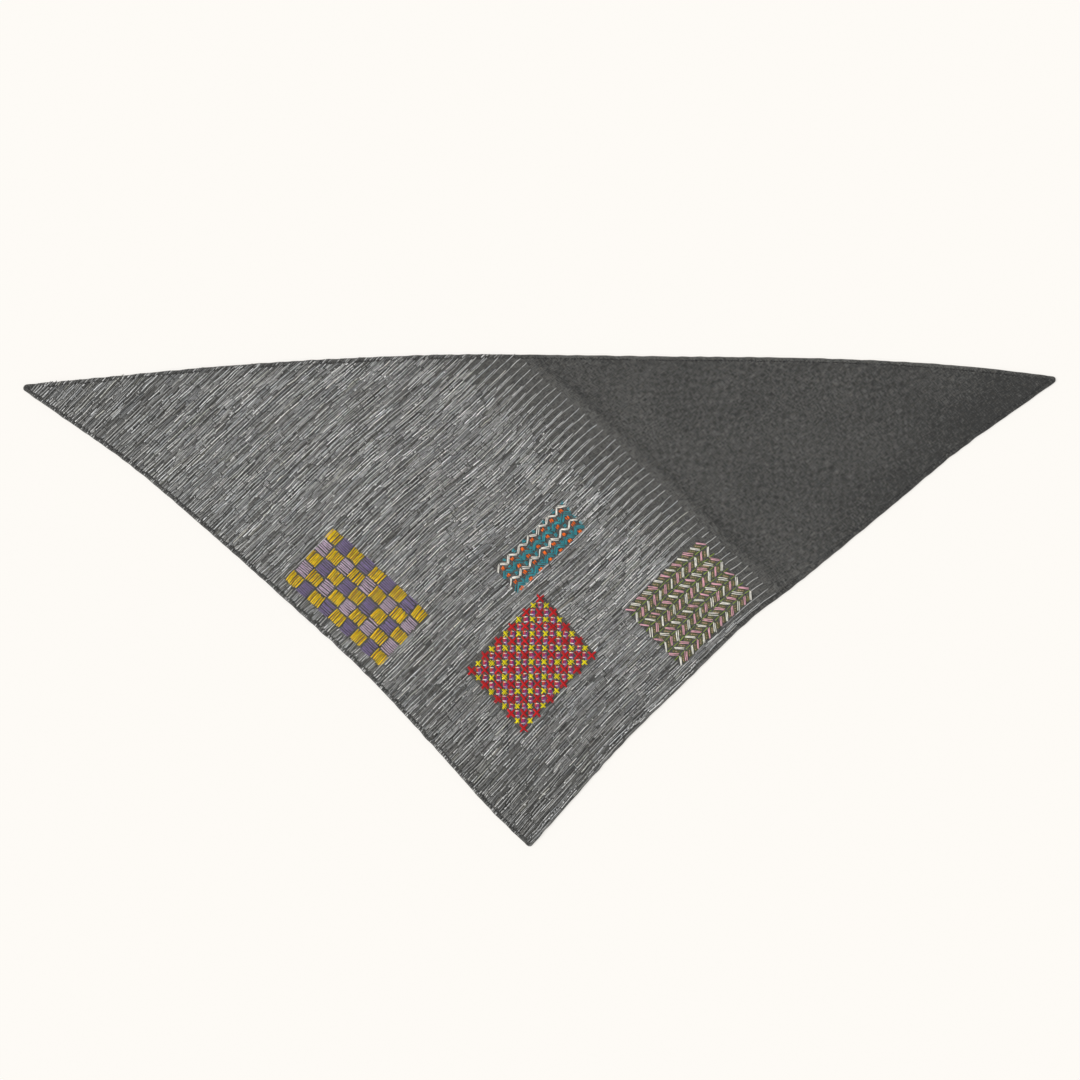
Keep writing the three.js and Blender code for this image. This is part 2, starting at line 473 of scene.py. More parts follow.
class Tree:
    """The nodes of one material."""

    def __init__(self, name: str) -> None:
        """Start an empty material."""
        self.material = bpy.data.materials.new(name)
        self.material.use_nodes = True
        self.material.node_tree.nodes.clear()

    def add(self, kind: str, settings: Optional[dict[str, Any]] = None,
            inputs: Optional[dict[Any, Any]] = None) -> bpy.types.Node:
        """Add a node.

        Args:
            kind: the node's type.
            settings: its properties, which are set first.
            inputs: values or links of its sockets, by name or number.

        Returns:
            The node.
        """
        node = self.material.node_tree.nodes.new(kind)
        for name, value in (settings or {}).items():
            setattr(node, name, value)
        for name, value in (inputs or {}).items():
            source = value.socket if isinstance(value, Value) else value
            if isinstance(source, Socket):
                self.material.node_tree.links.new(source, node.inputs[name])
            else:
                node.inputs[name].default_value = source
        return node

    def math(self, operation: str, *values: Number) -> Value:
        """Result of a Math node."""
        node = self.add("ShaderNodeMath", {"operation": operation}, dict(enumerate(values)))
        return Value(self, node.outputs[0])

    def cut_map(self) -> tuple[Socket, Value, Value]:
        """The piece's own cut map, as a vector and as its two numbers."""
        vector = self.add("ShaderNodeUVMap", {"uv_map": CUT_MAP}).outputs["UV"]
        parts = self.add("ShaderNodeSeparateXYZ", inputs={0: vector})
        return vector, Value(self, parts.outputs[0]), Value(self, parts.outputs[1])

    def noise(self, vector: Socket, along: float, across: float, detail: float,
              shift: float = 0.0) -> Value:
        """Noise of about 0 to 1 with its own scale along each direction.

        Args:
            vector: the coordinates.
            along: features a metre in the first direction.
            across: features a metre in the second direction.
            detail: octaves.
            shift: moves the pattern, so that two of them differ.

        Returns:
            The noise.
        """
        mapped = self.add("ShaderNodeMapping", inputs={
            "Vector": vector, "Scale": (along, across, 1.0), "Location": (shift, shift, shift)})
        node = self.add("ShaderNodeTexNoise", inputs={
            "Vector": mapped.outputs[0], "Scale": 1.0, "Detail": detail})
        return Value(self, node.outputs["Fac"])

    def mix(self, factor: Number, low: Any, high: Any, blend: str = "MIX") -> Socket:
        """Mix two colours, where the factor is the share of the second."""
        node = self.add("ShaderNodeMix", {"data_type": "RGBA", "blend_type": blend, "clamp_factor": True},
                        {0: factor, 6: rgba(low), 7: rgba(high)})
        return node.outputs[2]

    def finish(self, colour: Socket, roughness: Value, height: Value, bump: float,
               sheen: float, specular: float) -> Material:
        """Close the tree with one shader whose bump follows a height.

        Args:
            colour: base colour.
            roughness: roughness.
            height: height that the bump follows.
            bump: the bump's distance in metres.
            sheen: strength of the nap's sheen.
            specular: specular level.

        Returns:
            The material.
        """
        relief = self.add("ShaderNodeBump", inputs={"Height": height, "Distance": bump, "Strength": 1.0})
        shader = self.add("ShaderNodeBsdfPrincipled", inputs={
            "Base Color": colour, "Roughness": roughness, "Normal": relief.outputs[0],
            "Sheen Weight": sheen, "Sheen Roughness": 0.6, "Specular IOR Level": specular})
        self.add("ShaderNodeOutputMaterial", inputs={0: shader.outputs[0]})
        return self.material


def rgba(colour: Any) -> Any:
    """Add an opaque alpha to three plain numbers, and pass a link on."""
    return colour if isinstance(colour, Socket) else (*(float(part) for part in colour), 1.0)


@dataclass(frozen=True)
class CottonFinish:
    """Matt charcoal cotton in plain weave, mottled by uneven yarns. Each share below adds to the tone."""

    name: str
    form: ClothForm
    dark: Triple = (52, 52, 51)
    pale: Triple = (99, 98, 95)
    worn: Triple = (168, 168, 166)
    warm: Triple = (1.08, 1.0, 0.86)
    cool: Triple = (0.9, 1.0, 1.08)
    yarn: float = 0.6 * MM
    slub_length: float = 6.0 * MM
    slub_width: float = 0.75 * MM
    grain: float = 1.0 * MM
    base: float = 0.36
    yarn_share: float = 3.1
    grain_share: float = 1.9
    blotch_share: float = 0.5
    # Painted highlight: the raised stitched part and the ridge's crest drawn lighter, as their lit side.
    crest_highlight_share: float = 0.27
    # Painted shade on the ridge's far slope.
    ridge_shade_share: float = -0.08
    beyond_share: float = 0.09
    fold_share: float = 0.24
    rim_share: float = 0.26
    side_share: float = -0.24
    tip_share: float = -0.15
    worn_share: float = 0.5
    hue_share: float = 0.35
    weave_height: float = 0.15

    def tone(self, tree: Tree, s: Value, t: Value) -> Value:
        """Tone of each region of the cloth: a painted highlight under the stitches and up to the ridge's
        crest, painted shade beyond the crest, a lighter band beside the ridge, and tones along edges and
        tips.

        Args:
            tree: the material's nodes; not used.
            s: place along s.
            t: place along t.

        Returns:
            The tone, from 0 for dark to 1 for pale.
        """
        past = s + t * self.form.comb_lean - self.form.comb_at_edge
        oblique = (self.form.leg - (s + t)) / ROOT_TWO
        edge = s.math("MINIMUM", t).math("MINIMUM", oblique)
        regions = (
            # Painted highlight: the cloth under the stitches and up to the ridge's crest drawn lighter, as
            # the ridge's lit side.
            (past.fall(5 * MM, 9 * MM) * edge.ramp(3.5 * MM, 5.5 * MM), self.crest_highlight_share),
            # Painted shade: the ridge's far slope drawn darker, fading out towards the right edge.
            (past.bell(10.5 * MM, 5 * MM) * t.ramp(*self.form.ridge_fade), self.ridge_shade_share),
            (past.bell(34 * MM, 16 * MM), self.beyond_share),
            (edge.fall(0.3 * MM, 2.2 * MM), self.fold_share),
            (oblique.fall(2.6 * MM, 4.0 * MM) * past.ramp(0.0, 20 * MM), self.rim_share),
            (t.fall(5 * MM, 60 * MM) * past.ramp(40 * MM, 120 * MM), self.side_share),
            (s.ramp(430 * MM, 620 * MM), self.tip_share))
        return sum((region * share for region, share in regions), self.base)

    def material(self) -> Material:
        """Colour: uneven yarns both ways, blotches and flecks. Height: the weave and the yarns."""
        tree = Tree(self.name)
        cut, s, t = tree.cut_map()
        along, across = 1 / self.slub_length, 1 / self.slub_width
        warp = tree.noise(cut, along, across, 3.0)
        weft = tree.noise(cut, across, along, 3.0, shift=17.0)
        blotch = tree.noise(cut, 20, 20, 4.0, shift=5.0) - 0.5
        grain = tree.noise(cut, 1 / self.grain, 1 / self.grain, 3.0, shift=29.0) - 0.5
        yarns = (warp + weft - 1.0) * self.yarn_share + grain * self.grain_share
        tone = self.tone(tree, s, t) + yarns + blotch * self.blotch_share
        plain = tree.mix(tone, linear(self.dark), linear(self.pale))
        flecks = tree.noise(cut, 45, 0.1, 1.0, shift=53.0).ramp(0.3, 0.7)
        worn = t.fall(1.4 * MM, 2.8 * MM) * s.fall(200 * MM, 300 * MM) * flecks
        colour = tree.mix(worn * self.worn_share, plain, linear(self.worn))
        hue = tree.noise(cut, 260, 260, 2.0, shift=41.0)
        for high, tint in ((0.8, self.warm), (0.2, self.cool)):
            colour = tree.mix(hue.ramp(0.5, high) * self.hue_share, colour, tint, "MULTIPLY")
        turn = 2 * math.pi / self.yarn
        height = (s * turn).sine() * (t * turn).sine() * self.weave_height + yarns
        return tree.finish(colour, blotch * 0.1 + 0.9, height, 0.12 * MM, sheen=0.12, specular=0.2)


@dataclass(frozen=True)
class ThreadFinish:
    """Soft twisted cotton thread whose colour comes from each stitch's own dye."""

    name: str
    twist: float = 1.1 * MM
    # Painted shade in the grooves between the strands of the twist.
    strand_shade_share: float = 0.07
    uneven_share: float = 1.9

    def material(self) -> Material:
        """Colour: dye, with painted shade between the strands, and uneven along the thread. Height: the
        strands.
        """
        tree = Tree(self.name)
        cut, along, across = tree.cut_map()
        dye = tree.add("ShaderNodeAttribute", {"attribute_name": DYE}).outputs["Color"]
        strands = ((along / self.twist + across) * (2 * math.pi)).sine()
        uneven = tree.noise(cut, 300, 1.5, 3.0) - 0.5
        # The strands term is painted shade between the strands; the noise is the thread's own unevenness.
        shade = strands * self.strand_shade_share + uneven * self.uneven_share + 0.97
        colour = tree.add("ShaderNodeVectorMath", {"operation": "SCALE"}, {0: dye, 3: shade}).outputs[0]
        return tree.finish(colour, strands * 0.05 + 0.82, strands, 0.06 * MM, sheen=0.1, specular=0.25)


# The cloth

@dataclass
class ClothPanel:
    """The one cut piece of cloth: its face, its turned edge and its underside in one closed shell."""

    form: ClothForm
    divisions: int = 240

    def shares(self, number: Array, span: float) -> Array:
        """Distance of each net line, as a share of a span: the border rows first, and then even steps."""
        rows, last = BORDER_INSETS, len(BORDER_INSETS) - 1
        step = (1 - rows[-1] / span) / (self.divisions - last)
        return np.where(number <= last, rows[np.minimum(number, last)] / span,
                        rows[-1] / span + (number - last) * step)

    def lattice(self) -> tuple[Array, Array, Array]:
        """Triangular net over the cut, with its outer lines on the rows of the border section.

        The three shares of a point are divided by their sum so that they still make 1. The corner
        points are left out, so that face and underside share no triangle.

        Returns:
            Points in cut metres, triangles, and which points lie on the outline.
        """
        count = self.divisions
        i, j = np.nonzero(np.add.outer(np.arange(count + 1), np.arange(count + 1)) <= count)
        k = count - i - j
        blunt = np.maximum(np.maximum(i, j), k) < count
        number = np.full((count + 2, count + 2), -1)
        number[i[blunt], j[blunt]] = np.arange(blunt.sum())
        upright = np.stack([number[i, j], number[i + 1, j], number[i, j + 1]], 1)[k > 0]
        turned = np.stack([number[i + 1, j], number[i + 1, j + 1], number[i, j + 1]], 1)[k > 1]
        triangles = np.concatenate([upright, turned])
        i, j, k = i[blunt], j[blunt], k[blunt]
        leg, depth = self.form.leg, self.form.depth
        parts = np.stack([self.shares(i, leg), self.shares(j, leg), self.shares(k, depth)], 1)
        cut = (parts / parts.sum(1, keepdims=True))[:, :2] * leg
        return cut, triangles[(triangles >= 0).all(1)], (i == 0) | (j == 0) | (k == 0)

    def build(self, material: Material) -> Object:
        """Make the shell: the net on the face, and again on the underside with the outline shared.

        Args:
            material: the cloth's finish.

        Returns:
            The panel.
        """
        cut, triangles, edge = self.lattice()
        inner = np.nonzero(~edge)[0]
        under_number = np.arange(len(cut))
        under_number[inner] = len(cut) + np.arange(len(inner))
        points = np.concatenate([self.form.face(cut), self.form.under(cut[inner])])
        faces = np.concatenate([triangles, under_number[triangles][:, ::-1]])
        arrays = MeshArrays(points, [faces], np.concatenate([cut, cut[inner]]))
        return dress(make_object("cloth", arrays), material, ["cloth_panel"])


class Side(Enum):
    """The three edges of the cut, each with the solid of the hem under it."""

    LEFT = "hem_left_edge"
    RIGHT = "hem_right_edge"
    LONG = "hem_long_edge"


@dataclass
class Hem:
    """A twice-turned hem under one edge, mitred at both tips. Its section holds insets and heights in mm."""

    form: ClothForm
    side: Side
    steps: int = 260
    mitre: float = 0.35 * MM
    map_shift: Pair = (0.0, 0.9)
    section: Sequence[Pair] = (
        (6.9, 0.5), (6.6, 0.2), (5.6, 0.12), (4.6, 0.2), (3.6, 0.12), (2.2, 0.12),
        (1.75, 0.3), (1.65, 0.7), (2.0, 0.98), (4.0, 1.0), (6.4, 0.98), (6.8, 0.8))

    def route(self, inset: Array, share: Array) -> Array:
        """Cut points at a distance in from the edge, from mitre to mitre.

        Args:
            inset: distances in from the edge.
            share: shares of the way along, from 0 to 1.

        Returns:
            Points in cut metres.
        """
        inner = self.form.leg - inset * ROOT_TWO
        along = inset + self.mitre + share * (inner - 2 * inset - 2 * self.mitre)
        pairs = {Side.LEFT: (inset, along), Side.RIGHT: (along, inset), Side.LONG: (along, inner - along)}
        return np.stack(np.broadcast_arrays(*pairs[self.side]), -1)

    def build(self, material: Material) -> Object:
        """Carry the section along the edge and close both ends.

        Args:
            material: the cloth's finish.

        Returns:
            The hem.
        """
        inset, height = np.array(self.section).T * MM
        cut = self.route(inset[None], np.linspace(0, 1, self.steps)[:, None])
        height = np.broadcast_to(height, cut.shape[:2])
        points = np.concatenate([self.form.spread(cut), height[..., None]], -1)
        faces = tube_faces(np.zeros(1, int), self.steps, len(inset))
        if self.side is not Side.RIGHT:
            faces = [each[:, ::-1] for each in faces]
        cut_map = (cut + np.array(self.map_shift)).reshape(-1, 2)
        piece = make_object(self.side.value + "_cloth", MeshArrays(points.reshape(-1, 3), faces, cut_map))
        return dress(piece, material, [self.side.value])


# Stitches

class Stitches(NamedTuple):
    """Many stitches, a row of each array for each."""

    start: Array
    end: Array
    width: Array
    dye: Array
    lift: Array

    @classmethod
    def joined(cls, parts: Sequence["Stitches"]) -> "Stitches":
        """One set from several."""
        return cls(*(np.concatenate(columns) for columns in zip(*parts)))

    def only(self, chosen: Array) -> "Stitches":
        """The stitches that a mask or an index chooses."""
        return Stitches(*(column[chosen] for column in self))

    def reverse(self, reach: float) -> "Stitches":
        """The short stitches of the underside, each from the end of one of these and on along its line."""
        way = (self.end - self.start) / self.length[:, None] * reach
        return Stitches(self.end - way * 0.3, self.end + way * 0.7, self.width * 0.9, self.dye,
                        np.zeros_like(self.lift))

    @property
    def length(self) -> Array:
        """Length of each stitch in the cut."""
        return np.linalg.norm(self.end - self.start, axis=1)


class Station(NamedTuple):
    """One ring of a stitch: its place is shoulders x shoulder + share, of the stitch's length.

    Fullness is a share of the full width, and dive says how far the ring sinks into the cloth.
    """

    shoulders: float
    share: float
    fullness: float
    dive: float


LONG_STITCH = (
    Station(0.0, 0.0, 0.45, 1.0), Station(1.0, 0.0, 0.95, 0.1), Station(0.3, 0.35, 1.0, 0.0),
    Station(-0.3, 0.65, 1.0, 0.0), Station(-1.0, 1.0, 0.95, 0.1), Station(0.0, 1.0, 0.45, 1.0))
SHORT_STITCH = (
    Station(0.0, 0.0, 0.45, 1.0), Station(1.0, 0.0, 0.95, 0.15), Station(0.0, 0.5, 1.0, -0.1),
    Station(-1.0, 1.0, 0.95, 0.15), Station(0.0, 1.0, 0.45, 1.0))
SMALL_STITCH = (Station(0.0, 0.0, 0.5, 0.8), Station(0.0, 0.5, 1.0, -0.1), Station(0.0, 1.0, 0.5, 0.8))


@dataclass
class ThreadWork:
    """Turns stitches into one mesh of flattened tubes that rise from the cloth and dive back in."""

    form: ClothForm
    stations: Sequence[Station] = LONG_STITCH
    flatness: float = 0.75
    sides: int = 5
    shoulder: float = 0.55 * MM
    most_shoulder: float = 0.3
    sink: float = 0.5
    rise_below: float = 0.5
    lowest: float = 0.01 * MM
    below: bool = False
    underside: Optional[float] = None
    curl: float = 0.0
    curl_turn: float = 2.4
    twist_shift: float = 0.731
    bend: Optional[Callable[[Array], Array]] = None

    def centres(self, stitches: Stitches, place: Array, dive: Array) -> Array:
        """Middle of each ring: bend(start + place x (end - start)), curled sideways, and its height.

        Args:
            stitches: the stitches.
            place: shares of each stitch's length.
            dive: how far each ring sinks.

        Returns:
            Laid points.
        """
        cut = stitches.start[:, None] + place[..., None] * (stitches.end - stitches.start)[:, None]
        curl = self.curl * np.sin(self.curl_turn * np.arange(len(cut)))
        cut[..., 1] += curl[:, None] * np.sin(np.pi * place)
        cut = self.bend(cut) if self.bend else cut
        half = stitches.width[:, None] / 2
        rise = ((half * self.flatness + stitches.lift[:, None]) * (1 - dive)
                - half * self.sink * np.maximum(dive, 0))
        centre = self.form.under(cut, -rise * self.rise_below) if self.below else self.form.face(cut, rise)
        if self.underside is not None:
            centre[..., 2] = self.underside
        return centre

    def arrays(self, stitches: Stitches) -> MeshArrays:
        """Ring = centre + across x cosine + up x sine, times half the width.

        Args:
            stitches: the stitches.

        Returns:
            The mesh as arrays.
        """
        shoulders, share, fullness, dive = np.array(self.stations).T
        length = stitches.length[:, None]
        place = np.minimum(self.shoulder / length, self.most_shoulder) * shoulders + share
        centre = self.centres(stitches, place, dive)
        way = np.gradient(centre[..., :2], axis=1)
        way /= np.maximum(np.linalg.norm(way, axis=-1, keepdims=True), TINY)
        across = np.stack([way[..., 1], -way[..., 0], np.zeros_like(way[..., 0])], -1)[:, :, None]
        angle = (QUARTER_TURN + np.arange(self.sides) * 2 * np.pi / self.sides)[:, None]
        radius = (stitches.width[:, None] / 2 * fullness)[..., None, None]
        up = np.array([0, 0, self.flatness])
        ring = centre[:, :, None] + radius * (across * np.cos(angle) + up * np.sin(angle))
        ring[..., 2] = np.maximum(ring[..., 2], self.lowest)
        count, stops, sides = ring.shape[:3]
        faces = tube_faces(np.arange(count) * stops * sides, stops, sides)
        offset = (np.arange(count) * self.twist_shift % 1.0)[:, None]
        around = (np.arange(sides) / sides)[None, None]
        twist = np.stack(np.broadcast_arrays((place * length + offset)[..., None], around), -1)
        dye = np.broadcast_to(stitches.dye[:, None, None], ring.shape)
        return MeshArrays(ring.reshape(-1, 3), faces, twist.reshape(-1, 2), dye.reshape(-1, 3))

    def build(self, name: str, stitches: Stitches, material: Material) -> Object:
        """Make and dress the piece."""
        return dress(make_object(name, self.arrays(stitches)), material)


class Patch(NamedTuple):
    """A grain-straight rectangle of the cut, in metres: lowest s and t, and its two sides."""

    s: float
    t: float
    length: float
    breadth: float

    def holds(self, cut: Array, margin: float) -> Array:
        """Which points lie inside it, or less than a margin outside."""
        size = np.array([self.length, self.breadth]) / 2
        return (np.abs(cut - np.array([self.s, self.t]) - size) < size + margin).all(-1)


class Grey(NamedTuple):
    """One kind of ground thread: share of all stitches, screen grey, spread of it, and relative width."""

    portion: float
    tone: float
    spread: float
    width: float


class CombRow(NamedTuple):
    """One row of a repeat.

    It lies above the repeat's first row and starts back from the comb's end, both in mm, and near the
    comb it is pale or dull.
    """

    above: float
    back: float
    pale: bool


class Tick(NamedTuple):
    """One kind of loose thread: share of all, length in mm, screen grey, width in mm, and direction."""

    portion: float
    reach: float
    tone: float
    width: float
    way: Pair


TICKS = (Tick(0.22, 1.6, 208, 1.3, (1.0, 0.1)), Tick(0.4, 4.0, 166, 0.6, (0.12, 1.0)),
         Tick(0.38, 5.0, 66, 0.65, (0.12, 1.0)))
PALE_GREYS = (Grey(0.32, 158, 16, 0.95), Grey(0.44, 201, 16, 0.92), Grey(0.24, 240, 12, 0.86))
DULL_GREYS = (Grey(0.34, 93, 9, 0.96), Grey(0.44, 131, 13, 0.98), Grey(0.22, 165, 13, 1.0))
COMB_ROWS = (CombRow(0.0, 0, True), CombRow(1.5, 17, True), CombRow(2.65, 31, False),
             CombRow(3.85, 38, True), CombRow(5.05, 46, False), CombRow(6.25, 56, True))


@dataclass
class GroundStitching:
    """The close rows of long running stitches that cover the cloth up to the comb."""

    form: ClothForm
    patches: Sequence[Patch]
    pitch: float = 7.42 * MM
    rows: Sequence[CombRow] = COMB_ROWS
    mean_length: float = 17 * MM
    length_spread: float = 0.45
    most_stitches: float = 2.4
    shortest: float = 2.5 * MM
    gap: float = 0.3 * MM
    width: float = 1.03 * MM
    lowest_end: float = 0.4 * MM
    first_row: float = 4.9 * MM
    nearest_row: float = 1.2 * MM
    edge_back: float = 55 * MM
    pale_steps: tuple[int, int] = (2, 3)
    pale_odds: Pair = (0.8, 0.2)
    patch_overlap: float = 0.9 * MM
    start_scatter: float = 1.0 * MM
    row_jitter: float = 0.1 * MM
    drift: float = 0.1 * MM
    drift_wave: Pair = (70 * MM, 170 * MM)
    steady_reach: float = 60 * MM
    steadiness: float = 0.3
    end_scatter: float = 0.22 * MM
    curl: float = 0.15 * MM
    slant: float = 0.055
    slant_fade: Pair = (10 * MM, 150 * MM)
    turn_from: float = 190 * MM
    turn: float = 0.56
    tip_turn: float = 0.06
    tip_turn_fade: Pair = (530 * MM, 620 * MM)
    sway_width: float = 0.16 * MM
    sway: WaveField = WaveField(11, (90, 230), (16, 45), 12)
    seam_margin: float = 0.2 * MM
    seam_crossing: float = 0.8 * MM
    rim_crossing: float = 0.25
    rim_reach: float = 5.4 * MM
    missing: float = 0.04
    in_step: float = 0.12
    lower_reach: float = 210 * MM
    lower_dimming: float = 27.0
    tip_dimming: float = 13.0
    tip_fade: Pair = (480 * MM, 560 * MM)
    evenness: float = 0.8
    even_patch: Pair = (26 * MM, 4.4 * MM)
    even_region: Pair = (78 * MM, 46.8 * MM)
    comb_reach: float = -54 * MM
    comb_width: float = 0.9
    comb_evenness: float = 0.6
    comb_tones: Pair = (190, 212)
    warmth: float = 0.9
    beige_share: float = 0.03
    tick_count: int = 3400
    tick_lift: float = 0.42 * MM
    tick_spread: float = 12.0
    tick_tint: Triple = (1.0, 1.0, -2.0)
    tick_comb_gap: float = 40 * MM
    tick_edge_gap: float = 9 * MM
    tick_patch_gap: float = 5 * MM
    thread_tint: Triple = (0.5, 0.5, -1.5)
    rim_start: float = 15 * MM
    rim_pitch: float = 1.7 * MM
    rim_comb_gap: float = 6 * MM
    rim_share: float = 0.9
    rim_pale_share: float = 0.33
    rim_tones: Pair = (184, 110)
    rim_spread: float = 18.0
    rim_lift: float = 0.02 * MM

    def row_table(self, rng: np.random.Generator) -> tuple[Array, Array, Array]:
        """Height t, start s and place in the repeat of every row.

        Args:
            rng: the random draws.

        Returns:
            The three columns.
        """
        repeats = int(self.form.leg / self.pitch) + 2
        above, back, _ = np.array(self.rows, float).T * MM
        t = (np.arange(-1, repeats - 1)[:, None] * self.pitch + above + self.first_row).reshape(-1)
        place = np.tile(np.arange(len(above)), repeats)
        start = (self.form.comb_at_edge - self.form.comb_lean * t - self.edge_back * (t < self.first_row)
                 - back[place] * rng.uniform(0.8, 1.2, len(t)) + rng.normal(0, self.start_scatter, len(t)))
        return t + rng.normal(0, self.row_jitter, len(t)), start, place

    def slanted(self, s: Array, t: Array) -> Array:
        """Row height after t falls by slant x s, less turn x (s - turn_from)^2 past turn_from.

        The fall fades out towards the right edge, which the rows there follow, and the rows rise
        again in the left tip.

        Args:
            s: places along s.
            t: the rows' own heights.

        Returns:
            Heights t at those places.
        """
        fall = self.slant * s - self.turn * np.maximum(s - self.turn_from, 0) ** 2
        rise = self.tip_turn * s * smooth_step(t, *self.tip_turn_fade)
        return t - fall * smooth_step(t, *self.slant_fade) + rise

    def bend(self, cut: Array) -> Array:
        """Slant the rows, and sway neighbouring rows together."""
        t = self.slanted(cut[..., 0], cut[..., 1]) + self.sway_width * self.sway.at(cut)
        return np.stack([cut[..., 0], np.maximum(t, self.nearest_row)], -1)

    def spans(self, rng: np.random.Generator, row_t: Array,
              row_start: Array) -> tuple[Array, Array, Array]:
        """Split every row into stitches, by running sums of drawn lengths back from its start.

        Args:
            rng: the random draws.
            row_t: the rows' t.
            row_start: where the rows start at the comb.

        Returns:
            Start and end along s, and the row's number, one of each a stitch.
        """
        left_seam, _, long_seam = (inset + self.seam_margin for inset in self.form.seam_insets)
        long_edge = self.form.leg - row_t - long_seam * ROOT_TWO
        long_edge = long_edge + row_t - self.slanted(long_edge, row_t)
        cut_off = row_start > long_edge
        high = np.minimum(row_start, long_edge)[:, None]
        shape = (len(row_t), int(self.most_stitches * self.form.leg / self.mean_length))
        row = np.arange(len(row_t))
        own = self.mean_length * rng.lognormal(-self.length_spread ** 2 / 2, self.length_spread, shape)
        shared = own[row // len(self.rows) * len(self.rows)]
        drawn = np.where((rng.random(len(row)) < self.in_step)[:, None], shared, own)
        first = high + np.where(cut_off, rng.uniform(0, self.mean_length, len(row)), 0)[:, None]
        start = first - np.cumsum(drawn, 1)
        end = np.concatenate([first, start[:, :-1]], 1)
        gap = self.gap * rng.uniform(0.3, 1.7, shape)
        crossing = rng.normal(0, self.seam_crossing, (2, *shape))
        over_rim = cut_off[:, None] * (rng.random(shape) < self.rim_crossing) * self.rim_reach
        start = np.maximum(start + gap / 2, left_seam + crossing[0])
        end = np.minimum(end - gap / 2, high + crossing[1] + over_rim)
        first_of_repeat = (row % len(self.rows) == 0)[:, None]
        kept = (end - start > self.shortest) & ((rng.random(shape) > self.missing) | first_of_repeat)
        kept &= row_t[:, None] > self.nearest_row
        return start[kept], end[kept], np.nonzero(kept)[0]

    def around_patches(self, start: Array, end: Array, row: Array,
                       row_t: Array) -> tuple[Array, Array, Array]:
        """Cut the rows back from each patch, and keep what lies before and after it.

        Args:
            start: starts of the stitches along s.
            end: their ends along s.
            row: their rows.
            row_t: the rows' t.

        Returns:
            Start, end and row of the stitches that are left.
        """
        lap = self.patch_overlap
        for patch in self.patches:
            t = self.slanted(patch.s + patch.length / 2, row_t)[row]
            inside = (t > patch.t + lap) & (t < patch.t + patch.breadth - lap)
            before = np.where(inside, np.minimum(end, patch.s + lap), end)
            after = np.where(inside, np.maximum(start, patch.s + patch.length - lap), end)
            start, end, row = np.concatenate([start, after]), np.concatenate([before, end]), np.tile(row, 2)
            kept = end - start > self.shortest
            start, end, row = start[kept], end[kept], row[kept]
        return start, end, row

    def evened(self, middle: Array, length: Array, grey: Array) -> Array:
        """Grey less a share of (mean of the stitches in its patch - mean of those in the region around).

        Args:
            middle: middles of the stitches.
            length: their lengths, by which the means are weighted.
            grey: their greys.

        Returns:
            The evened greys.
        """
        def mean_over(size: Pair) -> Array:
            """Weighted mean in each cell of a grid of that size, at every stitch."""
            column, row = (middle / np.array(size)).astype(int).T
            cell = column * (row.max() + 1) + row
            return (np.bincount(cell, length * grey) / np.maximum(np.bincount(cell, length), TINY))[cell]

        return grey - self.evenness * (mean_over(self.even_patch) - mean_over(self.even_region))

    def stitches(self) -> Stitches:
        """All running stitches of the ground, each with its own grey, width and slight slant."""
        rng = np.random.default_rng(SEED + 10)
        row_t, row_start, place = self.row_table(rng)
        start, end, row = self.around_patches(*self.spans(rng, row_t, row_start), row_t)
        count = len(start)
        place = place[row]
        wave = rng.uniform(*self.drift_wave, len(row_t))[row]
        phase = rng.uniform(0, 2 * np.pi, len(row_t))[row]
        drift = self.drift * np.where(end > row_start[row] - self.steady_reach, self.steadiness, 1.0)
        low, high = (np.stack([where, np.maximum(
            row_t[row] + drift * np.sin(2 * np.pi * where / wave + phase)
            + rng.normal(0, self.end_scatter, count), self.lowest_end)], 1) for where in (start, end))
        near_comb = self.form.past_comb(low) > self.comb_reach
        pale_rows = np.cumsum(rng.choice(self.pale_steps, len(row_t), p=self.pale_odds))
        comb_pale = np.array([each.pale for each in self.rows])[place]
        pale = np.where(near_comb, comb_pale, np.isin(row, pale_rows))
        portion, *columns = (np.where(pale[:, None], light, dull) for light, dull
                             in zip(np.array(PALE_GREYS).T, np.array(DULL_GREYS).T))
        kind = (np.cumsum(portion, 1)[:, :-1] < rng.random(count)[:, None]).sum(1)[:, None]
        tone, spread, width = (np.take_along_axis(column, kind, 1)[:, 0] for column in columns)
        grey = self.evened((low + high) / 2, end - start, tone + spread * rng.normal(0, 1, count))
        grey -= self.lower_dimming * np.exp(-(low.sum(1) / self.lower_reach) ** 2)
        grey -= self.tip_dimming * smooth_step(low[:, 1], *self.tip_fade)
        comb_tone = np.array(self.comb_tones)[np.minimum(place, len(self.comb_tones) - 1)]
        grey = np.where(near_comb & (place < len(self.comb_tones)),
                        comb_tone + (1 - self.comb_evenness) * (grey - comb_tone), grey)
        warmth = rng.normal(0, self.warmth, (count, 1)) * np.array([1.0, 0.1, -1.2])
        beige = (rng.random(count) < self.beige_share)[:, None] * np.array([1.0, 1.0, -5.0])
        dye = dyed(grey, warmth + beige + np.array(self.thread_tint))
        lift = (rng.uniform(-0.1, 0.1, count) + np.where(pale, 0.1, -0.05)) * MM
        width = self.width * width * rng.uniform(0.88, 1.12, count)
        return Stitches(low, high, width * np.where(near_comb, self.comb_width, 1), dye, lift)

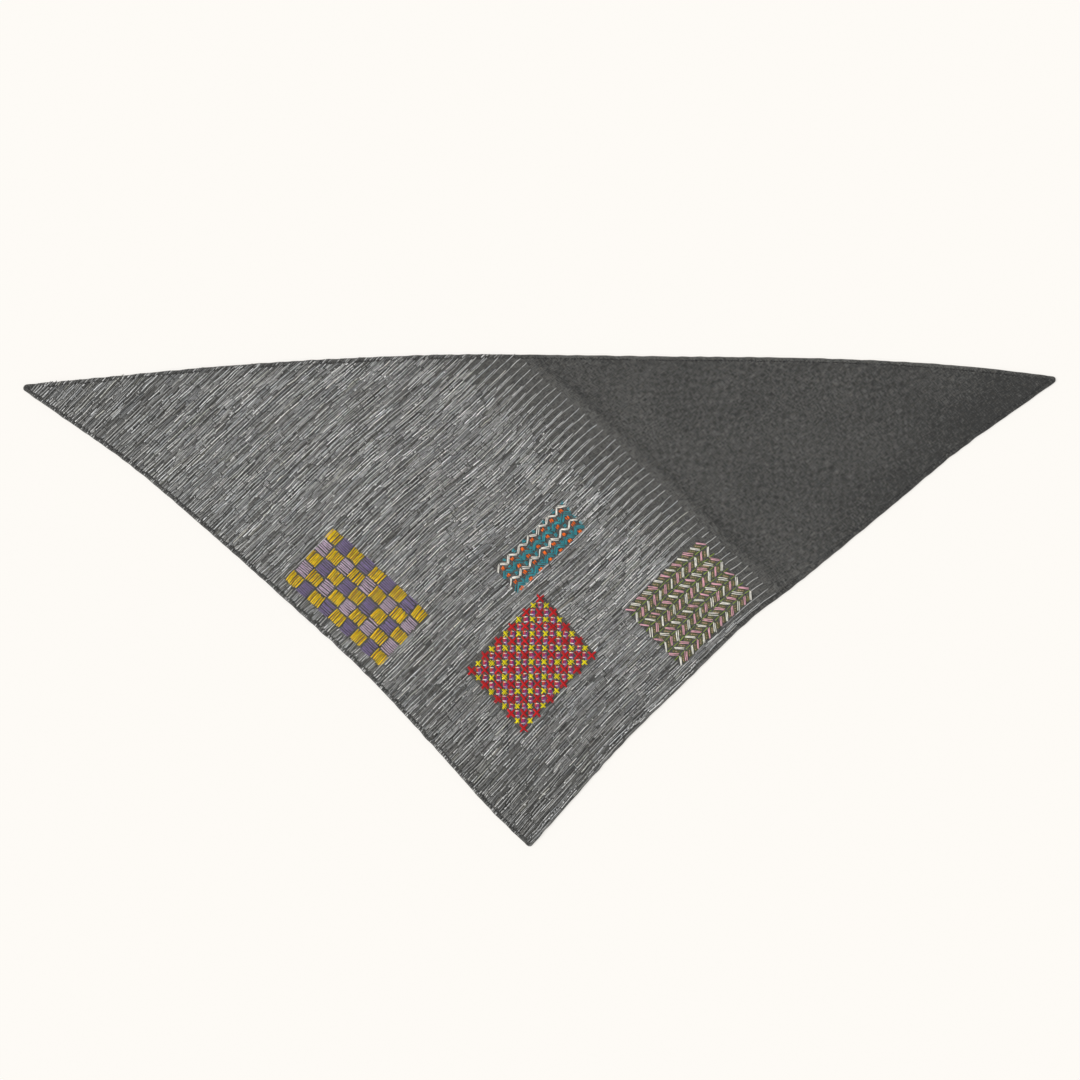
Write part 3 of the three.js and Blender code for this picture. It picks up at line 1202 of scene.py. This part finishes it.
    def ticks(self) -> Stitches:
        """Loose short threads on top: pale dots, and thin ticks across the rows, pale or dark."""
        rng = np.random.default_rng(SEED + 12)
        share = np.sort(rng.random((self.tick_count, 2)), 1)
        low = np.stack([share[:, 0], 1 - share[:, 1]], 1) * self.form.leg
        kept = self.form.past_comb(low) < -self.tick_comb_gap
        kept &= self.form.insets(low).min(1) > self.tick_edge_gap
        for patch in self.patches:
            kept &= ~patch.holds(low, self.tick_patch_gap)
        low = low[kept]
        count = len(low)
        portion, reach, tone, width, way = (np.array(column) for column in zip(*TICKS))
        kind = rng.choice(len(TICKS), count, p=portion)
        reach = reach[kind] * rng.uniform(0.6, 1.6, count) * MM
        dye = dyed(tone[kind] + rng.normal(0, self.tick_spread, count), self.tick_tint)
        high = low + way[kind] * reach[:, None]
        return Stitches(low, high, width[kind] * MM, dye, np.full(count, self.tick_lift))

    def rim(self) -> Stitches:
        """Ends of rows that show on the left and the long hem, outside their seams: short and mostly dull."""
        rng = np.random.default_rng(SEED + 13)
        count = int((self.form.leg - 2 * self.rim_start) / self.rim_pitch)
        t = self.rim_start + (np.arange(count) + rng.uniform(-0.35, 0.35, count)) * self.rim_pitch
        left_seam, _, long_seam = self.form.seam_insets
        outer, inner = rng.uniform(-0.1, 0.5, (2, count)) * MM, rng.uniform(0.0, 0.6, (2, count)) * MM
        across = self.form.leg - t
        ends = [(outer[0], left_seam - inner[0]),
                (across - (long_seam - inner[1]) * ROOT_TWO, across - outer[1] * ROOT_TWO)]
        low, high = (np.concatenate([np.stack([side[end], t], 1) for side in ends]) for end in (0, 1))
        low = np.maximum(low, 0.05 * MM)
        kept = (self.form.past_comb(high) < -self.rim_comb_gap) & (rng.random(2 * count) < self.rim_share)
        low, high = low[kept], high[kept]
        count = len(low)
        grey = np.where(rng.random(count) < self.rim_pale_share, *self.rim_tones)
        dye = dyed(grey + rng.normal(0, self.rim_spread, count), self.thread_tint)
        return Stitches(low, high, rng.uniform(0.75, 1.1, count) * MM, dye, np.full(count, self.rim_lift))

    def build(self, material: Material) -> list[Object]:
        """Make the ground in bands across t, the loose ticks and row ends, and the underside's stitches.

        Args:
            material: the thread's finish.

        Returns:
            The pieces.
        """
        stitches = self.stitches()
        work = ThreadWork(self.form, LONG_STITCH, sides=4, bend=self.bend, curl=self.curl)
        bands = np.array_split(np.argsort(stitches.start[:, 1], kind="stable"), 4)
        pieces = [work.build(f"ground_stitches_{name}", stitches.only(band), material)
                  for name, band in zip(("lowest", "lower", "middle", "upper"), bands)]
        small = ThreadWork(self.form, SHORT_STITCH, sides=4)
        pieces.append(small.build("ground_ticks", Stitches.joined([self.ticks(), self.rim()]), material))
        back = ThreadWork(self.form, SMALL_STITCH, sides=3, below=True, bend=self.bend)
        pieces.append(back.build("ground_underside", stitches.reverse(1.3 * MM), material))
        log.info("ground: %d stitches, %.1f m", len(stitches.width), stitches.length.sum())
        return pieces


@dataclass
class HemSeam:
    """The lines of small dark stitches that hold the three hems, and pale picks beside one of them."""

    form: ClothForm
    pitch: float = 2.9 * MM
    stitch: float = 2.3 * MM
    width: float = 0.95 * MM
    # The seam thread is dark, and these greys are darker still as painted shade of the groove that it lies
    # in.
    tone: float = 64.0
    bare_tone: float = 42.0
    tone_spread: float = 8.0
    scatter: float = 0.16 * MM
    rise: float = 0.3 * MM
    stitched_shares: Triple = (0.6, 0.22, 0.7)
    plain_shares: Triple = (0.45, 0.8, 0.9)
    pick_pitch: float = 3.9 * MM
    pick_end: float = 0.36
    pick_inset: float = 1.1 * MM
    pick_tone: float = 206.0
    pick_spread: float = 18.0
    pick_lift: float = 0.5 * MM
    under_height: float = 0.16 * MM

    def stitches(self, below: bool) -> Stitches:
        """One line a hem, along the groove, over the rows where there are rows.

        Args:
            below: whether these are the stitches of the underside.

        Returns:
            The stitches.
        """
        rng = np.random.default_rng(SEED + 20 + below)
        lines = []
        for side, inset, covered, bare in zip(Side, self.form.seam_insets, self.stitched_shares,
                                              self.plain_shares):
            count = int(self.form.leg * (ROOT_TWO if side is Side.LONG else 1) / self.pitch)
            start = (np.arange(count) + rng.uniform(-0.1, 0.1, count)) / count
            reach = self.stitch / self.pitch / count * rng.uniform(0.7, 1.1, count)
            route = Hem(self.form, side).route
            ends = [route(inset + rng.normal(0, self.scatter, count), place)
                    for place in (start, start + reach)]
            stitched = self.form.past_comb(ends[0]) < 0
            # Dark thread, darkened further as painted shade of the groove.
            tone = rng.normal(np.where(stitched, self.tone, self.bare_tone), self.tone_spread)
            kept = rng.random(count) < np.where(stitched, covered, bare)
            line = Stitches(*ends, self.width * rng.uniform(0.75, 1.15, count), dyed(tone),
                            self.rise * rng.uniform(0.7, 1.2, count))
            lines.append(line.only(kept))
        return Stitches.joined(lines)

    def picks(self) -> Stitches:
        """Small pale stitches just inside the seam of the right edge, near the lower tip."""
        rng = np.random.default_rng(SEED + 22)
        count = int(self.form.leg * self.pick_end / self.pick_pitch)
        place = (np.arange(count) + rng.uniform(0.2, 0.8, count)) / count * self.pick_end
        inset = self.form.seam_insets[1] + self.pick_inset + rng.normal(0, 0.4 * MM, count)
        start = Hem(self.form, Side.RIGHT).route(inset, place)
        way = np.stack([rng.uniform(0.7, 1.0, count), rng.uniform(-0.5, 0.3, count)], 1)
        end = start + way * rng.uniform(1.5, 3.2, (count, 1)) * MM
        dye = dyed(rng.normal(self.pick_tone, self.pick_spread, count))
        return Stitches(start, end, rng.uniform(0.9, 1.3, count) * MM, dye, np.full(count, self.pick_lift))

    def build(self, material: Material) -> list[Object]:
        """Make the lines on the face and on the underside."""
        face = ThreadWork(self.form, SHORT_STITCH, sides=4)
        under = ThreadWork(self.form, SHORT_STITCH, sides=4, below=True, underside=self.under_height)
        on_face = Stitches.joined([self.stitches(False), self.picks()])
        return [face.build("hem_seam_face", on_face, material),
                under.build("hem_seam_underside", self.stitches(True), material)]


# Coloured blocks

class Dye(Enum):
    """Screen colours of the bright threads."""

    GOLD = (236, 200, 28)
    AMBER = (196, 146, 34)
    LEMON = (242, 226, 20)
    LILAC = (196, 176, 196)
    PURPLE = (132, 116, 158)
    TEAL = (58, 146, 156)
    WHITE = (242, 238, 228)
    ORANGE = (250, 112, 28)
    SCARLET = (216, 66, 28)
    RED = (206, 24, 30)
    MAGENTA = (152, 50, 118)
    PINK = (228, 172, 184)
    OLIVE = (104, 106, 66)
    LIME = (132, 156, 62)
    BEIGE = (190, 158, 132)


@dataclass(frozen=True)
class Bar:
    """A short bar of parallel strands that a block repeats in its cells, with sizes in mm.

    Shift moves it by shares of a cell. Parity picks cells by (column + row) and odd_row by row, and
    omit leaves out so many last columns and rows. A bar that turns leans the other way in odd rows.
    """

    dye: Dye
    length: float
    strands: int
    strand_gap: float
    width: float
    lift: float = 0.1
    angle: float = 0.0
    shift: Pair = (0.0, 0.0)
    parity: Optional[int] = None
    odd_row: Optional[int] = None
    omit: tuple[int, int] = (0, 0)
    turns: bool = False

    def lay(self, rng: np.random.Generator, column: Array, row: Array, pitch: Pair,
            corner: Pair) -> Stitches:
        """Strand n of a bar lies (n - half the strands) gaps to the side of the bar's middle line.

        Args:
            rng: the random draws, for uneven ends and shades.
            column: column of every cell.
            row: row of every cell.
            pitch: size of a cell.
            corner: the block's lowest s and t.

        Returns:
            The stitches.
        """
        chosen = (column <= column.max() - self.omit[0]) & (row <= row.max() - self.omit[1])
        if self.parity is not None:
            chosen &= (column + row) % 2 == self.parity
        if self.odd_row is not None:
            chosen &= row % 2 == self.odd_row
        column, row = column[chosen], row[chosen]
        middles = np.stack([column, row], 1) + 0.5 + np.array(self.shift)
        middles = (middles * np.array(pitch) + np.array(corner)) * MM
        angle = self.angle * np.where(self.turns & (row % 2 == 1), -1, 1)
        way = np.stack([np.cos(angle), np.sin(angle)], -1)
        side = np.stack([-way[:, 1], way[:, 0]], -1)
        place = (np.arange(self.strands) - (self.strands - 1) / 2) * self.strand_gap * MM
        centre = (middles[:, None] + side[:, None] * place[None, :, None]).reshape(-1, 2)
        centre += rng.normal(0, 0.18 * MM, centre.shape)
        half = np.repeat(way, self.strands, 0) * self.length * MM / 2
        count = len(centre)
        ends = [centre + sign * half * rng.uniform(0.93, 1.05, (count, 1))
                + rng.normal(0, 0.2 * MM, (count, 2)) for sign in (-1, 1)]
        dye = linear(self.dye.value) * np.clip(rng.normal(1, 0.07, (count, 1)), 0.8, 1.2)
        lift = (self.lift + rng.uniform(0, 0.08, count)) * MM
        return Stitches(*ends, self.width * MM * rng.uniform(0.9, 1.1, count), dye, lift)


@dataclass(frozen=True)
class Block:
    """A grain-straight block of bright bars, with its corner and cells in mm of the cut."""

    name: str
    corner: Pair
    columns: int
    rows: int
    pitch: Pair
    bars: Sequence[Bar]

    @property
    def patch(self) -> Patch:
        """The rectangle that the block takes up."""
        size = np.array([self.columns, self.rows]) * np.array(self.pitch)
        return Patch(*np.array([*self.corner, *size]) * MM)

    def build(self, form: ClothForm, material: Material, seed: int) -> list[Object]:
        """Make the block on the face, and its short stitches on the underside.

        Args:
            form: the laid form of the cloth.
            material: the thread's finish.
            seed: seed of the uneven stitches.

        Returns:
            Both pieces.
        """
        rng = np.random.default_rng(seed)
        cells = np.meshgrid(np.arange(self.columns), np.arange(self.rows))
        stitches = Stitches.joined([bar.lay(rng, *cells, self.pitch, self.corner) for bar in self.bars])
        face = ThreadWork(form, SHORT_STITCH, flatness=0.6, sides=6)
        back = ThreadWork(form, SMALL_STITCH, sides=4, below=True)
        return [face.build(self.name, stitches, material),
                back.build(self.name + "_underside", stitches.reverse(2.2 * MM), material)]


def basket(cell: float) -> list[Bar]:
    """Basket darning: gold bars along s in the even cells, lilac or purple ones along t in the others.

    Args:
        cell: size of a cell in mm.

    Returns:
        The bars, in the order in which they are laid.
    """
    length, gap = 0.88 * cell, cell / 7.2
    cross = {"angle": QUARTER_TURN, "parity": 1}
    return [Bar(Dye.GOLD, length, 7, gap, 1.25, parity=0),
            Bar(Dye.AMBER, 0.8 * length, 3, 2.2 * gap, 1.0, 0.32, parity=0),
            Bar(Dye.LILAC, length, 7, gap, 1.25, odd_row=0, **cross),
            Bar(Dye.PURPLE, length, 7, gap, 1.25, odd_row=1, **cross)]


def zigzag(width: float, height: float) -> list[Bar]:
    """Two slanted bars a cell make a zigzag, in teal or white by rows, with an orange bar in every bay.

    Args:
        width: width of a cell in mm.
        height: height of a cell in mm.

    Returns:
        The bars, in the order in which they are laid.
    """
    rise = 0.62 * height
    slant, length = math.atan2(rise, width / 2), math.hypot(rise, width / 2) * 0.95
    lines = [Bar(dye, length, strands, 1.15, 1.0, 0.2, -math.copysign(slant, side), (side, 0.0), odd_row=row)
             for row, dye, strands in ((0, Dye.TEAL, 3), (1, Dye.WHITE, 2)) for side in (-0.25, 0.25)]
    return [*lines, Bar(Dye.ORANGE, 3.4, 3, 1.1, 1.15, angle=QUARTER_TURN, shift=(0.0, -0.3)),
            Bar(Dye.TEAL, 3.2, 3, 1.15, 1.1, -0.05, shift=(0.5, 0.26))]


def crosses(cell: float) -> list[Bar]:
    """Upright crosses, red and yellow by turns, from a bar along s and a higher one along t, and seeds.

    Args:
        cell: size of a cell in mm.

    Returns:
        The bars, in the order in which they are laid.
    """
    arms = [Bar(dye, share * cell, 2, width, width, lift, angle, parity=parity)
            for parity, dye, share, width in ((0, Dye.RED, 1.14, 1.05), (1, Dye.LEMON, 0.72, 0.9))
            for angle, lift in ((0.0, 0.25), (QUARTER_TURN, 0.8))]
    seeds = [Bar(dye, 5.0, strands, 1.2, 1.15, -0.02, math.pi / 4, shift, omit=(1, 1))
             for dye, shift, strands in ((Dye.SCARLET, (0.5, 0.62), 2), (Dye.MAGENTA, (0.5, 0.42), 3),
                                         (Dye.PURPLE, (0.42, 0.22), 2))]
    tips = [Bar(Dye.WHITE, 4.0, 1, 1.6, 0.95, 0.15, -math.pi / 4, (shift, shift), omit=(1, 1))
            for shift in (0.34, 0.66)]
    return arms + seeds + tips


def herringbone(width: float, height: float) -> list[Bar]:
    """White and pink bars that lean by rows, on olive infill, with a green line under each row.

    Args:
        width: width of a cell in mm.
        height: height of a cell in mm.

    Returns:
        The bars, in the order in which they are laid.
    """
    reach, line, lean = 0.98 * height, 0.85 * width, 0.9
    between = {"shift": (0.5, 0.0), "omit": (1, 0)}
    return [Bar(Dye.WHITE, reach, 2, 1.1, 0.95, 0.35, lean, parity=0, turns=True),
            Bar(Dye.PINK, reach, 2, 1.1, 0.95, 0.35, lean, parity=1, turns=True),
            Bar(Dye.OLIVE, line, 4, 1.5, 1.3, -0.1, **between),
            Bar(Dye.LIME, line, 1, 1.5, 0.9, 0.2, shift=(0.0, 0.5), omit=(0, 1)),
            Bar(Dye.BEIGE, 0.7 * reach, 1, 1.5, 0.9, 0.1, lean, turns=True, **between)]


BLOCKS = (
    Block("block_basket", (13, 216), 5, 9, (13.4, 13.4), basket(13.4)),
    Block("block_zigzag", (150, 168), 7, 4, (12.4, 8.6), zigzag(12.4, 8.6)),
    Block("block_crosses", (68, 74), 11, 9, (9.0, 9.0), crosses(9.0)),
    Block("block_herringbone", (212, 12), 13, 8, (7.2, 9.6), herringbone(7.2, 9.6)))


# Studio

@dataclass
class Studio:
    """Pale floor, soft light and a camera straight above the cloth."""

    frame_width: float = 993.6 * MM
    centre: Pair = (0.5 * MM, 55.5 * MM)
    height: float = 2.4
    sensor: float = 36.0
    far: float = 50.0
    floor_size: float = 6.0
    floor_colour: Triple = (254, 251, 246)
    floor_glow: float = 0.65
    sky: float = 0.5
    sun: float = 2.13
    sun_spread: float = 34.0
    sun_elevation: float = 47.0
    sun_azimuth: float = 176.0

    def floor(self) -> None:
        """A plain pale floor, lit from below as well so that it takes hardly any shadow."""
        corners = np.array([[-1, -1, 0], [1, -1, 0], [1, 1, 0], [-1, 1, 0]]) * self.floor_size
        floor = make_object("floor", MeshArrays(corners, [np.array([[0, 1, 2, 3]])], corners[:, :2]))
        tree = Tree("pale_floor")
        colour = rgba(linear(self.floor_colour))
        matt = tree.add("ShaderNodeBsdfDiffuse", inputs={"Color": colour})
        lit = tree.add("ShaderNodeEmission", inputs={"Color": colour, "Strength": 1.0})
        shader = tree.add("ShaderNodeMixShader", inputs={
            0: self.floor_glow, 1: matt.outputs[0], 2: lit.outputs[0]})
        tree.add("ShaderNodeOutputMaterial", inputs={0: shader.outputs[0]})
        floor.data.materials.append(tree.material)

    def light(self) -> None:
        """An even sky, and a wide soft lamp from the left that shows the relief."""
        world = bpy.data.worlds.new("soft_sky")
        world.use_nodes = True
        background = world.node_tree.nodes["Background"]
        background.inputs["Color"].default_value = (1.0, 1.0, 1.0, 1.0)
        background.inputs["Strength"].default_value = self.sky
        bpy.context.scene.world = world
        lamp = bpy.data.lights.new("wide_lamp", "SUN")
        lamp.energy = self.sun
        lamp.angle = math.radians(self.sun_spread)
        add_object("wide_lamp", lamp).rotation_euler = (
            0.0, math.radians(90 - self.sun_elevation), math.radians(self.sun_azimuth))

    def camera(self) -> None:
        """A long lens straight above, whose frame is as wide at the cloth as the photo's."""
        lens = bpy.data.cameras.new("camera")
        lens.sensor_width = self.sensor
        lens.lens = self.sensor * self.height / self.frame_width
        lens.clip_end = self.far
        bpy.context.scene.camera = add_object("camera", lens)
        bpy.context.scene.camera.location = (*self.centre, self.height)

    def build(self) -> None:
        """Set everything up, with plain colour handling."""
        bpy.context.scene.view_settings.view_transform = "Standard"
        self.floor()
        self.light()
        self.camera()


def main() -> None:
    """Build the kerchief and its studio."""
    logging.basicConfig(level=logging.INFO, format="%(name)s: %(message)s")
    Studio().build()
    form = ClothForm()
    cotton = CottonFinish("charcoal_cotton", form).material()
    thread = ThreadFinish("soft_thread").material()
    panel = ClothPanel(form).build(cotton)
    hems = [Hem(form, side).build(cotton) for side in Side]
    ground = GroundStitching(form, [block.patch for block in BLOCKS]).build(thread)
    seams = HemSeam(form).build(thread)
    blocks = [piece for number, block in enumerate(BLOCKS)
              for piece in block.build(form, thread, SEED + 40 + number)]
    hems + ground + seams + blocks


if __name__ == "__main__":
    main()
